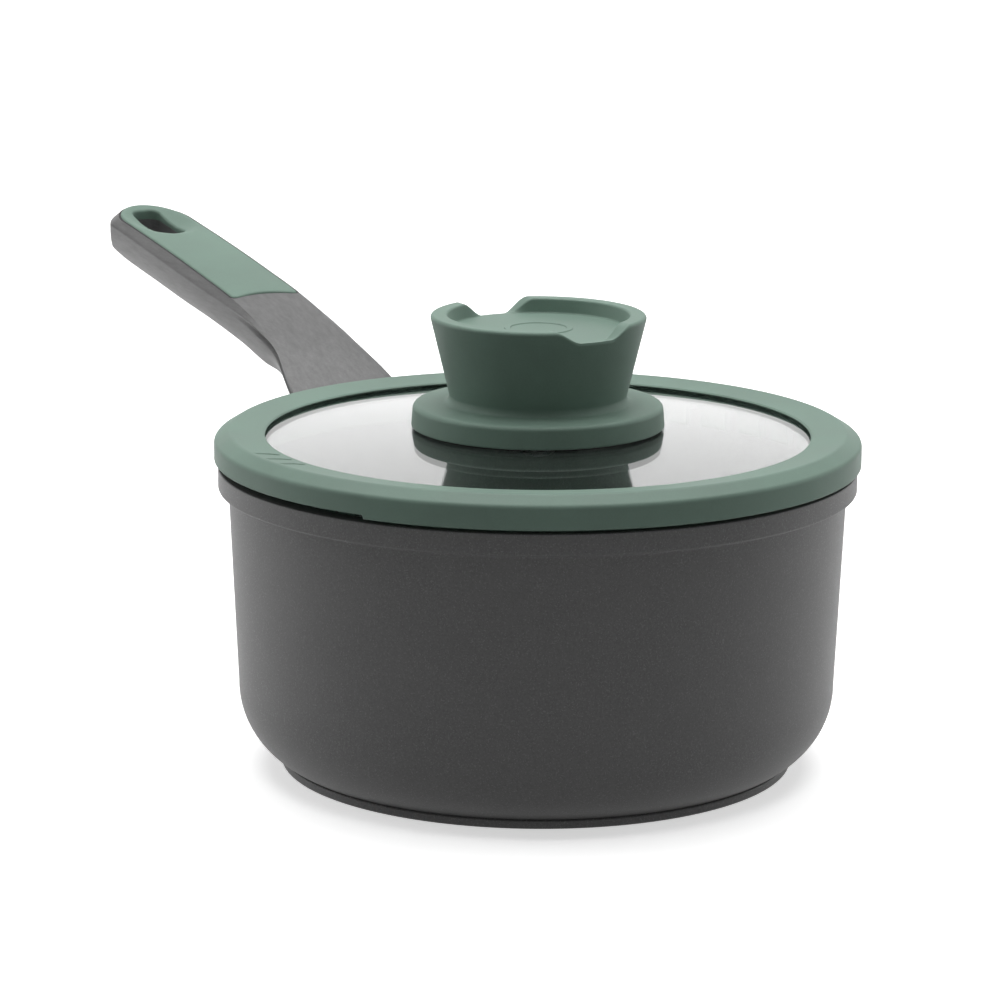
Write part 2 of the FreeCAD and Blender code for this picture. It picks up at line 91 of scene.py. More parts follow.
# Stretches of the handle as (distance from the axis, run) over which a feature comes or goes
BULGE_GOES, BULGE_COMES = (168.0, 30.0), (112.0, 24.0)
ROLL_GOES, ROLL_COMES = (166.0, 22.0), (84.0, 14.0)
GROOVE_GOES = (170.0, 28.0)
SOFT_CREASE_COMES, SOFT_TIP_COMES = (150.0, 30.0), (249.0, 6.0)
HUG_GOES = (96.0, 13.4)
GROOVE_DEPTH, GROOVE_WIDTH = 1.0, 1.1
TOP_CROWN, TOP_ROLL = 0.15, 0.45
SCOOP_DEPTH, SCOOP_ALONG_R, SCOOP_ACROSS_R = 2.1, 48.0, 20.0

# Lid
SKIRT_R, SKIRT_Z, VENT_Z, SEAT_Z = 86.5, 82.4, 83.5, 81.55
VENT_AZ, VENT_HALF = 271.5, 29.0
GLASS_R, GLASS_T = 79.0, 4.0
GLASS_FLAT_R, GLASS_FLAT_Z, GLASS_TOP_Z, GLASS_HOLE_R = 73.0, 88.9, 92.2, 5.0
GLASS_FLAT_END_R, GLASS_EDGE_R = 75.5, 1.5
MARK_SPAN, MARK_DEPTH, MARK_HALF, MARK_SOFT = 9.0, 0.9, 0.35, 0.5
SLOT_LOW, SLOT_TOP, SLOT_IN_R, SLOT_OUT_R = 76.0, 82.3, 70.0, 84.0

# Knob
KNOB_Z, KNOB_TOP, KNOB_FLANGE_R, KNOB_R, WAIST_R = 93.0, 122.0, 33.9, 29.0, 23.3
KNOB_SKIRT_R, KNOB_SKIRT_Z = 31.9, 91.9
DISH_Z, DISH_R, DISH_EDGE_R = 118.1, 23.4, 24.5
WAIST_Z = 98.5
PRESS_DEPTH, ROLL_R = 5.0, 27.0
LIP_IN_R, LIP_MIDDLE_R = 25.0, 26.5


# ------------------------------------------------------------------ mesh helpers
def in_metres(verts):
    return [Vector(v) * MM for v in verts]


def link_mesh(name, points, faces):
    """Object with a mesh from points in metres, placed in the scene."""
    mesh = bpy.data.meshes.new(name)
    mesh.from_pydata(points, [], faces)
    obj = bpy.data.objects.new(name, mesh)
    bpy.context.scene.collection.objects.link(obj)
    return obj


def build(name, verts, faces, body, stands_for=(), sharp=38.0):
    """Piece from millimetre points, smooth-shaded with crisp edges kept crisp."""
    obj = link_mesh(name, in_metres(verts), faces)
    tidy_mesh(obj, sharp)
    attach(obj, body)
    if stands_for:
        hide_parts(*stands_for)
    return obj


def tidy_mesh(obj, sharp=38.0):
    """Merges doubles, turns faces outward and marks edges sharper than an angle."""
    bm = bmesh.new()
    bm.from_mesh(obj.data)
    bmesh.ops.remove_doubles(bm, verts=bm.verts, dist=2e-6)
    bmesh.ops.dissolve_degenerate(bm, dist=1e-6, edges=bm.edges)
    bmesh.ops.recalc_face_normals(bm, faces=bm.faces)
    limit = math.radians(sharp)
    for face in bm.faces:
        face.smooth = True
    for edge in bm.edges:
        edge.smooth = len(edge.link_faces) == 2 and edge.calc_face_angle(0.0) < limit
    bm.to_mesh(obj.data)
    bm.free()
    obj.data.update()


def carve(obj, cutters, sharp=38.0):
    """Cuts closed meshes out of a closed mesh and keeps the result."""
    for cutter in cutters:
        mod = obj.modifiers.new("carve", "BOOLEAN")
        mod.operation = "DIFFERENCE"
        mod.solver = "EXACT"
        mod.object = cutter
    depsgraph = bpy.context.evaluated_depsgraph_get()
    result = bpy.data.meshes.new_from_object(obj.evaluated_get(depsgraph))
    obj.modifiers.clear()
    obj.data = result
    for cutter in cutters:
        bpy.data.objects.remove(cutter)
    tidy_mesh(obj, sharp)


def prism_faces(count):
    """Faces of a closed prism whose two loops of points follow each other."""
    faces = [tuple(range(count))[::-1], tuple(range(count, 2 * count))]
    faces += [(i, (i + 1) % count, count + (i + 1) % count, count + i) for i in range(count)]
    return faces


def prism(loop, low, high):
    """Closed upright prism on a loop of (x, y), used only for cutting."""
    verts = [(x, y, low) for x, y in loop] + [(x, y, high) for x, y in loop]
    obj = link_mesh("cutter", in_metres(verts), prism_faces(len(loop)))
    bm = bmesh.new()
    bm.from_mesh(obj.data)
    bmesh.ops.recalc_face_normals(bm, faces=bm.faces)
    bm.to_mesh(obj.data)
    bm.free()
    return obj


def rounded(corners, closed=True, fine=0.35):
    """Dense outline from (a, b, rounding) corners, with support points beside every arc."""
    count = len(corners)
    chain = []
    for i, (a, b, rad) in enumerate(corners):
        here = Vector((a, b))
        ends = not closed and i in (0, count - 1)
        if rad <= 0 or ends:
            chain.append([here])
            continue
        back = (Vector(corners[i - 1][:2]) - here).normalized()
        ahead = (Vector(corners[(i + 1) % count][:2]) - here).normalized()
        half = back.angle(ahead) / 2
        reach = rad / math.tan(half)
        middle = (back + ahead).normalized()
        centre = here + middle * (rad / math.sin(half))
        start, end = here + back * reach, here + ahead * reach
        turn = math.pi - 2 * half
        steps = max(3, int(math.degrees(turn) / 9.0))
        first = (start - centre).angle_signed(end - centre)
        arc = []
        for k in range(steps + 1):
            angle = -first * k / steps
            spoke = start - centre
            arc.append(centre + Vector((
                spoke.x * math.cos(angle) - spoke.y * math.sin(angle),
                spoke.x * math.sin(angle) + spoke.y * math.cos(angle),
            )))
        chain.append(arc)
    points = []
    for i, group in enumerate(chain):
        points += group
        if not closed and i == count - 1:
            break
        start, end = group[-1], chain[(i + 1) % count][0]
        run = end - start
        if run.length > 4 * fine:
            points.append(start + run.normalized() * fine)
            inner = run.length - 2 * fine
            extra = int(inner / 6.0)
            for k in range(1, extra + 1):
                points.append(start + run.normalized() * (fine + inner * k / (extra + 1)))
            points.append(end - run.normalized() * fine)
    return [(p.x, p.y) for p in points]


def even_angles(count):
    return [2 * math.pi * i / count for i in range(count)]


def lathe(outline, angles, bend=None):
    """Closed surface of revolution; bend(r, z, angle) may move a point to a new (r, z)."""
    verts, faces, rings = [], [], []
    for r, z in outline:
        if r < 1e-6:
            verts.append((0.0, 0.0, z))
            rings.append([len(verts) - 1] * len(angles))
            continue
        ring = []
        for angle in angles:
            radius, height = bend(r, z, angle) if bend else (r, z)
            ring.append(len(verts))
            verts.append((radius * math.cos(angle), radius * math.sin(angle), height))
        rings.append(ring)
    turns = len(angles)
    for i, ring in enumerate(rings):
        after = rings[(i + 1) % len(rings)]
        if ring[0] == ring[1] and after[0] == after[1]:
            continue
        for k in range(turns):
            n = (k + 1) % turns
            quad = [ring[k], ring[n], after[n], after[k]]
            corners = [v for j, v in enumerate(quad) if v != quad[j - 1]]
            faces.append(tuple(corners))
    return verts, faces


def smooth_step(x):
    x = min(1.0, max(0.0, x))
    return x * x * (3 - 2 * x)


def comes(reach, stretch):
    """0 up to the start of a stretch of the handle, 1 after its run."""
    place, run = stretch
    return smooth_step((reach - place) / run)


def goes(reach, stretch):
    """1 before a stretch of the handle, falling to 0 over the run that ends at its place."""
    place, run = stretch
    return smooth_step((place - reach) / run)


def along(column, reach):
    """Smooth value of one column of the handle's stations at a distance from the axis."""
    xs = [s[0] for s in STATIONS]
    ys = [s[column] for s in STATIONS]
    i = max(0, min(len(xs) - 2, sum(1 for x in xs if x <= reach) - 1))
    slopes = [(ys[k + 1] - ys[k]) / (xs[k + 1] - xs[k]) for k in range(len(xs) - 1)]

    def tangent(k):
        if k == 0:
            return slopes[0]
        if k == len(xs) - 1:
            return slopes[-1]
        left, right = xs[k] - xs[k - 1], xs[k + 1] - xs[k]
        return (slopes[k - 1] * right + slopes[k] * left) / (left + right)

    span = xs[i + 1] - xs[i]
    t = (reach - xs[i]) / span
    low, high = tangent(i) * span, tangent(i + 1) * span
    return (
        (2 * t ** 3 - 3 * t ** 2 + 1) * ys[i] + (t ** 3 - 2 * t ** 2 + t) * low
        + (3 * t ** 2 - 2 * t ** 3) * ys[i + 1] + (t ** 3 - t ** 2) * high
    )


# ------------------------------------------------------------------ material helpers
def material(name):
    mat = bpy.data.materials.new(name)
    mat.use_nodes = True
    nodes = mat.node_tree.nodes
    return mat, nodes, mat.node_tree.links, nodes["Principled BSDF"]


def noise(nodes, links, coords, scale, detail=4.0, rough=0.55):
    tex = nodes.new("ShaderNodeTexNoise")
    tex.inputs["Scale"].default_value = scale
    tex.inputs["Detail"].default_value = detail
    tex.inputs["Roughness"].default_value = rough
    links.new(coords, tex.inputs["Vector"])
    return tex.outputs["Fac"]


def ramp(nodes, links, source, stops):
    node = nodes.new("ShaderNodeValToRGB")
    elements = node.color_ramp.elements
    while len(elements) < len(stops):
        elements.new(0.5)
    for element, (place, colour) in zip(elements, stops):
        element.position = place
        element.color = (*colour, 1.0)
    links.new(source, node.inputs["Fac"])
    return node.outputs["Color"]


def grey(value):
    return (value, value, value)


def mixed(nodes, links, factor, first, second, mode="MIX"):
    node = nodes.new("ShaderNodeMix")
    node.data_type = "RGBA"
    node.blend_type = mode
    for socket, value in ((node.inputs[0], factor), (node.inputs[6], first), (node.inputs[7], second)):
        if isinstance(value, (int, float)):
            socket.default_value = value
        elif isinstance(value, tuple):
            socket.default_value = (*value, 1.0)
        else:
            links.new(value, socket)
    return node.outputs[2]


def bumped(nodes, links, bsdf, height, strength, distance):
    node = nodes.new("ShaderNodeBump")
    node.inputs["Strength"].default_value = strength
    node.inputs["Distance"].default_value = distance
    links.new(height, node.inputs["Height"])
    links.new(node.outputs["Normal"], bsdf.inputs["Normal"])


def object_coords(nodes):
    return nodes.new("ShaderNodeTexCoord").outputs["Object"]


def silicone(name, colour):
    """Matt moulded silicone: fine mould texture, faint mottling, dusty sheen at the edges."""
    mat, nodes, links, bsdf = material(name)
    coords = object_coords(nodes)
    mottle = noise(nodes, links, coords, 45.0, 3.0)
    fine = noise(nodes, links, coords, 1800.0, 2.0, 0.6)
    dark = tuple(c * 0.93 for c in colour)
    light = tuple(min(1.0, c * 1.06) for c in colour)
    tone = ramp(nodes, links, mottle, ((0.35, dark), (0.65, light)))
    speck = ramp(nodes, links, fine, ((0.3, grey(0.955)), (0.7, grey(1.0))))
    links.new(mixed(nodes, links, 1.0, tone, speck, "MULTIPLY"), bsdf.inputs["Base Color"])
    gloss = ramp(nodes, links, mottle, ((0.3, grey(0.5)), (0.7, grey(0.6))))
    links.new(gloss, bsdf.inputs["Roughness"])
    bsdf.inputs["Specular IOR Level"].default_value = 0.34
    bsdf.inputs["Sheen Weight"].default_value = 0.07
    bsdf.inputs["Sheen Roughness"].default_value = 0.5
    bsdf.inputs["Sheen Tint"].default_value = (0.8, 0.95, 0.87, 1.0)
    bumped(nodes, links, bsdf, fine, 0.25, 0.00006)
    return mat


def coating(name, base, fleck):
    """Grey sprayed non-stick coating with pale and dark flecks and a fine sandy surface."""
    mat, nodes, links, bsdf = material(name)
    coords = object_coords(nodes)
    sand = noise(nodes, links, coords, 1500.0, 3.0, 0.65)
    cloud = noise(nodes, links, coords, 60.0, 3.0)
    flecks = noise(nodes, links, coords, 2600.0, 0.0, 0.5)
    tone = ramp(nodes, links, sand, ((0.3, grey(base * 0.8)), (0.7, grey(base * 1.22))))
    soft = ramp(nodes, links, cloud, ((0.3, grey(0.94)), (0.7, grey(1.0))))
    tone = mixed(nodes, links, 1.0, tone, soft, "MULTIPLY")
    pale = ramp(nodes, links, flecks, ((0.66, grey(0.0)), (0.72, grey(1.0))))
    tone = mixed(nodes, links, pale, tone, grey(fleck))
    links.new(tone, bsdf.inputs["Base Color"])
    gloss = ramp(nodes, links, sand, ((0.3, grey(0.42)), (0.7, grey(0.56))))
    links.new(gloss, bsdf.inputs["Roughness"])
    bsdf.inputs["Specular IOR Level"].default_value = 0.4
    bumped(nodes, links, bsdf, sand, 0.3, 0.00008)
    return mat


def plastic(name, base, rough=0.5, streak=(1.0, 1.0, 1.0)):
    """Matt moulded plastic, finely etched, with streaks that run along one axis."""
    mat, nodes, links, bsdf = material(name)
    coords = object_coords(nodes)
    etch = noise(nodes, links, coords, 1300.0, 4.0, 0.7)
    mapping = nodes.new("ShaderNodeMapping")
    mapping.inputs["Scale"].default_value = streak
    links.new(coords, mapping.inputs["Vector"])
    grain = noise(nodes, links, mapping.outputs["Vector"], 620.0, 4.0, 0.7)
    tone = ramp(nodes, links, etch, ((0.3, grey(base * 0.88)), (0.7, grey(base * 1.12))))
    soft = ramp(nodes, links, grain, ((0.3, grey(0.76)), (0.7, grey(1.14))))
    links.new(mixed(nodes, links, 1.0, tone, soft, "MULTIPLY"), bsdf.inputs["Base Color"])
    gloss = ramp(nodes, links, etch, ((0.3, grey(rough * 0.9)), (0.7, grey(rough * 1.15))))
    links.new(gloss, bsdf.inputs["Roughness"])
    bsdf.inputs["Specular IOR Level"].default_value = 0.5
    height = mixed(nodes, links, 0.5, etch, grain)
    bumped(nodes, links, bsdf, height, 0.4, 0.0001)
    return mat


def metal(name, colour, rough, grain=(300.0, 300.0, 6000.0)):
    """Turned or brushed metal with fine directional lines."""
    mat, nodes, links, bsdf = material(name)
    mapping = nodes.new("ShaderNodeMapping")
    mapping.inputs["Scale"].default_value = grain
    links.new(object_coords(nodes), mapping.inputs["Vector"])
    lines = noise(nodes, links, mapping.outputs["Vector"], 1.0, 3.0)
    dark = tuple(c * 0.85 for c in colour)
    links.new(ramp(nodes, links, lines, ((0.3, dark), (0.7, colour))), bsdf.inputs["Base Color"])
    gloss = ramp(nodes, links, lines, ((0.3, grey(rough * 0.8)), (0.7, grey(rough * 1.25))))
    links.new(gloss, bsdf.inputs["Roughness"])
    bsdf.inputs["Metallic"].default_value = 1.0
    bumped(nodes, links, bsdf, lines, 0.15, 0.00004)
    return mat


def clear_glass(name):
    """Clear tempered glass with a barely uneven, slightly smeared surface."""
    mat, nodes, links, bsdf = material(name)
    coords = object_coords(nodes)
    smear = noise(nodes, links, coords, 25.0, 2.0)
    bsdf.inputs["Base Color"].default_value = (0.97, 0.985, 0.98, 1.0)
    gloss = ramp(nodes, links, smear, ((0.35, grey(0.004)), (0.75, grey(0.02))))
    links.new(gloss, bsdf.inputs["Roughness"])
    bsdf.inputs["IOR"].default_value = 1.52
    bsdf.inputs["Transmission Weight"].default_value = 1.0
    bumped(nodes, links, bsdf, smear, 0.02, 0.0001)
    return mat


GREEN = (0.154, 0.236, 0.191)
MATERIALS = {
    "coated_aluminium": coating("grey_coating", 0.105, 0.16),
    "base_steel": metal("base_steel", (0.55, 0.55, 0.55), 0.32, (2500.0, 60.0, 60.0)),
    "brass": metal("brass", (0.72, 0.52, 0.24), 0.3),
    "handle_plastic": plastic("handle_plastic", 0.13, 0.46, (0.16, 1.0, 1.0)),
    # Near-black colour for the tray under the handle's inlay: painted shade, so that its rim shows as
    # the dark shadow line round the inlay.
    "black_plastic": plastic("black_plastic", 0.012, 0.5),
    "plug_plastic": plastic("plug_plastic", 0.12, 0.5),
    "handle_silicone": silicone("handle_silicone", GREEN),
    "rim_silicone": silicone("rim_silicone", GREEN),
    "knob_silicone": silicone("knob_silicone", GREEN),
    "black_rubber": silicone("black_rubber", (0.012, 0.013, 0.013)),
    "screw_steel": metal("screw_steel", (0.62, 0.62, 0.63), 0.28),
    "lid_glass": clear_glass("lid_glass"),
}
SLOT_OF = {s["node"]: s["material_slot"] for s in frame["record"]["subparts"]}


def paint(obj, slot_name):
    obj.data.materials.clear()
    obj.data.materials.append(MATERIALS[slot_name])


for node_name, node in frame["nodes"].items():
    paint(node, SLOT_OF[node_name])


# ------------------------------------------------------------------ pan
def pan_outline():
    centre = (WALL_LOW_R - CORNER_R, CORNER_R)
    first = math.asin((STEP_Z - CORNER_R) / CORNER_R)
    lower = rounded([
        (0.0, FLOOR_Z, 0), (0.0, PLATE_T + 0.1, 0), (PLATE_R + 0.15, PLATE_T + 0.1, 0),
        (PLATE_R + 0.15, 0.0, 0.25), (FOOT_R, 0.0, 0.7), (FOOT_R, STEP_Z - 0.25, 0.5),
        (centre[0] + CORNER_R * math.cos(first), STEP_Z, 0),
    ], closed=False)
    arc = []
    steps = 26
    for i in range(1, steps + 1):
        angle = first * (1 - i / steps)
        arc.append((centre[0] + CORNER_R * math.cos(angle), centre[1] + CORNER_R * math.sin(angle)))
    inner_centre = (INNER_LOW_R - INNER_CORNER_R, FLOOR_Z + INNER_CORNER_R)
    upper = rounded([
        (WALL_LOW_R, CORNER_R + 0.5, 0), (NECK_R, NECK_Z, 0.8), (RIM_R, LIP_Z, 0.5),
        (RIM_R, RIM_Z, 0.35), (MOUTH_R, RIM_Z, 0.9), (MOUTH_R - 0.3, 66.0, 20.0),
        (INNER_LOW_R, inner_centre[1] + 0.5, 0),
    ], closed=False)
    inner = []
    for i in range(steps + 1):
        angle = -math.pi / 2 * i / steps
        inner.append((inner_centre[0] + INNER_CORNER_R * math.cos(angle),
                      inner_centre[1] + INNER_CORNER_R * math.sin(angle)))
    floor_rings = [(r, FLOOR_Z) for r in (50.0, 38.0, 26.0, 14.0, 5.0)]
    return lower + arc + upper + inner + floor_rings


def box_mesh(low, high, rounding):
    """Upright block with rounded vertical corners as (verts, faces)."""
    loop = rounded([
        (low[0], low[1], rounding), (high[0], low[1], rounding),
        (high[0], high[1], rounding), (low[0], high[1], rounding),
    ])
    verts = [(x, y, low[2]) for x, y in loop] + [(x, y, high[2]) for x, y in loop]
    return verts, prism_faces(len(loop))


verts, faces = lathe(pan_outline(), even_angles(256))
lug_verts, lug_faces = box_mesh((-LUG_END, -LUG_W / 2, LUG_LOW), (-79.6, LUG_W / 2, LUG_HIGH), 3.0)
faces += [tuple(i + len(verts) for i in f) for f in lug_faces]
verts += lug_verts
pan = build("pan_bowl", verts, faces, "pan", ("pan_body",))
paint(pan, "coated_aluminium")


# ------------------------------------------------------------------ handle
def wall_radius(z):
    share = (z - CORNER_R) / (WALL_TOP_Z - CORNER_R)
    return WALL_LOW_R + (WALL_TOP_R - WALL_LOW_R) * min(1.0, max(0.0, share))


def handle_section(reach):
    """Ring of (y, z) round the handle at a distance from the axis, closing in at the tip."""
    top_z, top_w, crease_z, crease_w, low_z, low_w = (along(c, reach) for c in range(1, 7))
    half, low_half, top_half = crease_w / 2, low_w / 2, top_w / 2
    depth = crease_z - low_z
    bulge = goes(reach, BULGE_GOES) * (0.15 + 0.45 * comes(reach, BULGE_COMES))
    belly = [
        (half, 0.0), (half * (0.965 + 0.075 * bulge), -depth * 0.17),
        (half * (0.92 + 0.12 * bulge), -depth * 0.35),
        (low_half + (half - low_half) * (0.62 + 0.32 * bulge), -depth * 0.57),
        (low_half + (half - low_half) * (0.32 + 0.4 * bulge), -depth * 0.78),
        (low_half * 0.86, -depth * 0.93), (low_half * 0.54, -depth * 0.985), (0.0, -depth),
    ]
    end = TIP_L + BEVEL
    tip = TIP_R + 1.0
    into = max(0.0, min(1.0, (reach - end + tip) / tip))
    widest = TIP_HALF * math.sqrt(max(0.0, 1 - into * into)) if into > 0 else NO_LIMIT
    into_chin = max(0.0, min(1.0, (reach - end + CHIN_R) / CHIN_R))
    chin = CHIN_R * math.sqrt(max(0.0, 1 - into_chin * into_chin))
    deepest = chin if into_chin > 0 else NO_LIMIT
    into_top = max(0.0, min(1.0, (reach - TIP_L + TIP_R) / TIP_R))
    top_half *= math.sqrt(max(0.0, 1 - into_top * into_top))
    if reach > TIP_L:
        top_z = crease_z + (top_z - crease_z) * (end - reach) / BEVEL
    curve = spline(belly, 42)
    fine = [
        tuple(curve[i][d] + (curve[i + 1][d] - curve[i][d]) * k / 5 for d in (0, 1))
        for i in range(4) for k in range(5)
    ]
    right = [(min(y, widest), crease_z - min(-z, deepest)) for y, z in fine + curve[4:]]
    half = min(half, widest)
    top_half = min(top_half, half)
    rolled = TOP_ROLL * goes(reach, ROLL_GOES) * comes(reach, ROLL_COMES)
    steps = 9
    rise = [
        (half + (top_half - half) * k / steps, crease_z + (top_z - rolled - crease_z) * k / steps)
        for k in range(1, steps)
    ]
    across = 24
    upper = []
    for k in range(across + 1):
        share = 1 - 2 * k / across
        upper.append((top_half * share, top_z + TOP_CROWN - (rolled + TOP_CROWN) * abs(share) ** 3))
    left = [(-y, z) for y, z in right[1:-1]]
    corner = (-right[0][0], right[0][1])
    ring = right[::-1] + rise + upper + [(-y, z) for y, z in rise[::-1]] + [corner] + left
    return relief(ring, reach, crease_z, half)


def relief(ring, reach, crease_z, half):
    """Sinks a groove just under the neck's crease and rounds the grip's crease and tip."""
    groove = GROOVE_DEPTH * goes(reach, GROOVE_GOES)
    result = []
    for y, z in ring:
        gap = math.hypot(abs(y) - half, z - crease_z + GROOVE_WIDTH)
        if gap < GROOVE_WIDTH:
            y -= math.copysign(groove * (1 - (gap / GROOVE_WIDTH) ** 2) ** 2, y)
        result.append((y, z))
    soft_crease = comes(reach, SOFT_CREASE_COMES)
    soft_tip = comes(reach, SOFT_TIP_COMES)
    count = len(result)
    for _ in range(5):
        before = list(result)
        for i, (y, z) in enumerate(before):
            near = math.hypot(abs(y) - half, z - crease_z) < 1.6
            weight = max(soft_tip, soft_crease if near else 0.0) * 0.5
            if weight <= 0:
                continue
            step = 3 if near else 1
            a, b = before[i - step], before[(i + step) % count]
            middle_y, middle_z = (a[0] + b[0]) / 2, (a[1] + b[1]) / 2
            result[i] = (y + (middle_y - y) * weight, z + (middle_z - z) * weight)
    return result


def spline(points, count):
    """Catmull-Rom curve through points, resampled to a number of steps."""
    padded = [points[0]] + list(points) + [points[-1]]
    spans = len(points) - 1
    result = []
    for k in range(count + 1):
        t = spans * k / count
        i = min(spans - 1, int(t))
        t -= i
        p = padded[i:i + 4]
        result.append(tuple(
            0.5 * (2 * p[1][d] + (p[2][d] - p[0][d]) * t
                   + (2 * p[0][d] - 5 * p[1][d] + 4 * p[2][d] - p[3][d]) * t * t
                   + (3 * p[1][d] - p[0][d] - 3 * p[2][d] + p[3][d]) * t ** 3)
            for d in (0, 1)
        ))
    return result


def handle_reaches():
    edge = TIP_L - TIP_R
    reaches = [ROOT_L + (edge - ROOT_L) * i / 140 for i in range(141)]
    span = TIP_L + BEVEL - edge
    for i in range(1, 45):
        reaches.append(edge + span * math.sin(math.pi / 2 * i / 45))
    return reaches


def handle_mesh():
    """Handle as a chain of section rings; the first ones hug the pan's wall."""
    verts, faces = [], []
    rings = []
    for reach in handle_reaches():
        hug = goes(reach, HUG_GOES)
        ring = []
        for y, z in handle_section(reach):
            wall = wall_radius(z) + 0.3
            shift = ROOT_L - math.sqrt(max(1.0, wall * wall - y * y))
            ring.append(len(verts))
            verts.append((-reach + shift * hug, y, z))
        rings.append(ring)
    count = len(rings[0])
    for a, b in zip(rings[:-1], rings[1:]):
        for k in range(count):
            n = (k + 1) % count
            faces.append((a[k], a[n], b[n], b[k]))
    for ring, x, z in ((rings[0], -ROOT_L, 54.0), (rings[-1], -TIP_L - BEVEL, along(3, TIP_L))):
        verts.append((x, 0.0, z))
        for k in range(count):
            faces.append((ring[k], ring[(k + 1) % count], len(verts) - 1))
    return verts, faces


def plan_loop(half, tip_l, end_l):
    """Plan outline of the inlay as (x, y) points, anticlockwise, with softened inner corners."""
    tip_r, bay, corner, fine = TIP_R, INLAY_BAY, 1.6, 0.6
    edge_l = tip_l - tip_r
    inner_half = half - corner
    start_l = end_l + bay * (1 - (inner_half / half) ** 2)
    points = []
    run = edge_l - start_l - corner
    side = int(run / fine)
    for i in range(side + 1):
        points.append((-start_l - corner - run * i / side, -half))
    turns = 56
    for i in range(1, turns):
        angle = -math.pi / 2 + math.pi * i / turns
        points.append((-edge_l - tip_r * math.cos(angle), half * math.sin(angle)))
    for i in range(side + 1):
        points.append((-edge_l + run * i / side, half))
    middle = -start_l - corner
    for i in range(1, 7):
        angle = math.pi / 2 * (1 - i / 7)
        points.append((middle + corner * math.cos(angle), inner_half + corner * math.sin(angle)))
    across = 34
    for i in range(across + 1):
        y = inner_half * (1 - 2 * i / across)
        points.append((-end_l - bay * (1 - (y / half) ** 2), y))
    for i in range(1, 7):
        angle = math.pi / 2 * i / 7
        points.append((middle + corner * math.cos(angle), -inner_half - corner * math.sin(angle)))
    return points


def offset_loop(loop, amount):
    """Loop moved inward by an amount along its own normals (anticlockwise seen from +Z)."""
    count = len(loop)
    area = sum(loop[i - 1][0] * loop[i][1] - loop[i][0] * loop[i - 1][1] for i in range(count))
    sign = 1.0 if area > 0 else -1.0
    result = []
    for i, (x, y) in enumerate(loop):
        ahead, back = loop[(i + 1) % count], loop[i - 1]
        dx, dy = ahead[0] - back[0], ahead[1] - back[1]
        length = math.hypot(dx, dy) or 1.0
        result.append((x - sign * dy / length * amount, y + sign * dx / length * amount))
    return result


def hole_loop(grow=0.0):
    half_l, half_w = HOLE_LEN / 2 + grow, HOLE_W / 2 + grow
    rad = HOLE_CORNER + grow
    return rounded([
        (-HOLE_L - half_l, -half_w, rad), (-HOLE_L + half_l, -half_w, rad),
        (-HOLE_L + half_l, half_w, rad), (-HOLE_L - half_l, half_w, rad),
    ], fine=0.5)


def inside(loop, x, y):
    hit = False
    for i, (ax, ay) in enumerate(loop):
        bx, by = loop[i - 1]
        if (ay > y) != (by > y) and x < (bx - ax) * (y - ay) / (by - ay) + ax:
            hit = not hit
    return hit


def near_loop(loop, x, y):
    return min((x - a) ** 2 + (y - b) ** 2 for a, b in loop) ** 0.5


def sheet_between(outer, inner, step):
    """Triangles that fill the plan between two loops, as (points, faces)."""
    points = list(outer) + list(inner)
    xs = [p[0] for p in outer]
    ys = [p[1] for p in outer]
    columns = int((max(xs) - min(xs)) / step)
    rows = int((max(ys) - min(ys)) / step)
    for i in range(1, columns):
        for k in range(1, rows):
            x = min(xs) + (max(xs) - min(xs)) * (i + 0.5 * (k % 2)) / columns
            y = min(ys) + (max(ys) - min(ys)) * k / rows
            if not inside(outer, x, y) or inside(inner, x, y):
                continue
            if near_loop(outer, x, y) < step * 0.7 or near_loop(inner, x, y) < step * 0.7:
                continue
            points.append((x, y))
    edges = [(i, (i + 1) % len(outer)) for i in range(len(outer))]
    edges += [(len(outer) + i, len(outer) + (i + 1) % len(inner)) for i in range(len(inner))]
    out = geometry.delaunay_2d_cdt([Vector(p) for p in points], edges, [], 0, 1e-6)
    index = {new: olds[0] for new, olds in enumerate(out[3]) if olds}
    faces = []
    for face in out[2]:
        x = sum(out[0][v].x for v in face) / len(face)
        y = sum(out[0][v].y for v in face) / len(face)
        if inside(outer, x, y) and not inside(inner, x, y):
            faces.append(tuple(index[v] for v in face))
    return points, faces


def inlay_height(x, y):
    """Top of the silicone: slightly crowned, with the thumb scoop round the hanging hole."""
    reach = -x
    line = along(1, reach)
    flat = line + 0.3 + 0.35 * (1 - (y / INLAY_HALF) ** 2)
    run = reach - (HOLE_L - 1.0)
    scoop = line - SCOOP_DEPTH + run * run / (2 * SCOOP_ALONG_R) + y * y / (2 * SCOOP_ACROSS_R)
    blend = 0.12
    share = min(1.0, max(0.0, (scoop - flat + blend) / (2 * blend)))
    return scoop + (flat - scoop) * share - blend * share * (1 - share)


def loft_loops(verts, faces, loops):
    """Adds walls between loops of equal length; each loop is a list of (x, y, z)."""
    first = len(verts)
    count = len(loops[0])
    for loop in loops:
        verts += loop
    for a in range(len(loops) - 1):
        for k in range(count):
            n = (k + 1) % count
            base = first + a * count
            faces.append((base + k, base + n, base + count + n, base + count + k))


def liner_floor(x, drop=LINER_DEEP):
    """Sloping plane a little under the scoop, where the silicone round the hole ends."""
    slope = (along(1, HOLE_L + 10.0) - along(1, HOLE_L - 10.0)) / 20.0
    return along(1, HOLE_L) - drop + slope * (-x - HOLE_L)


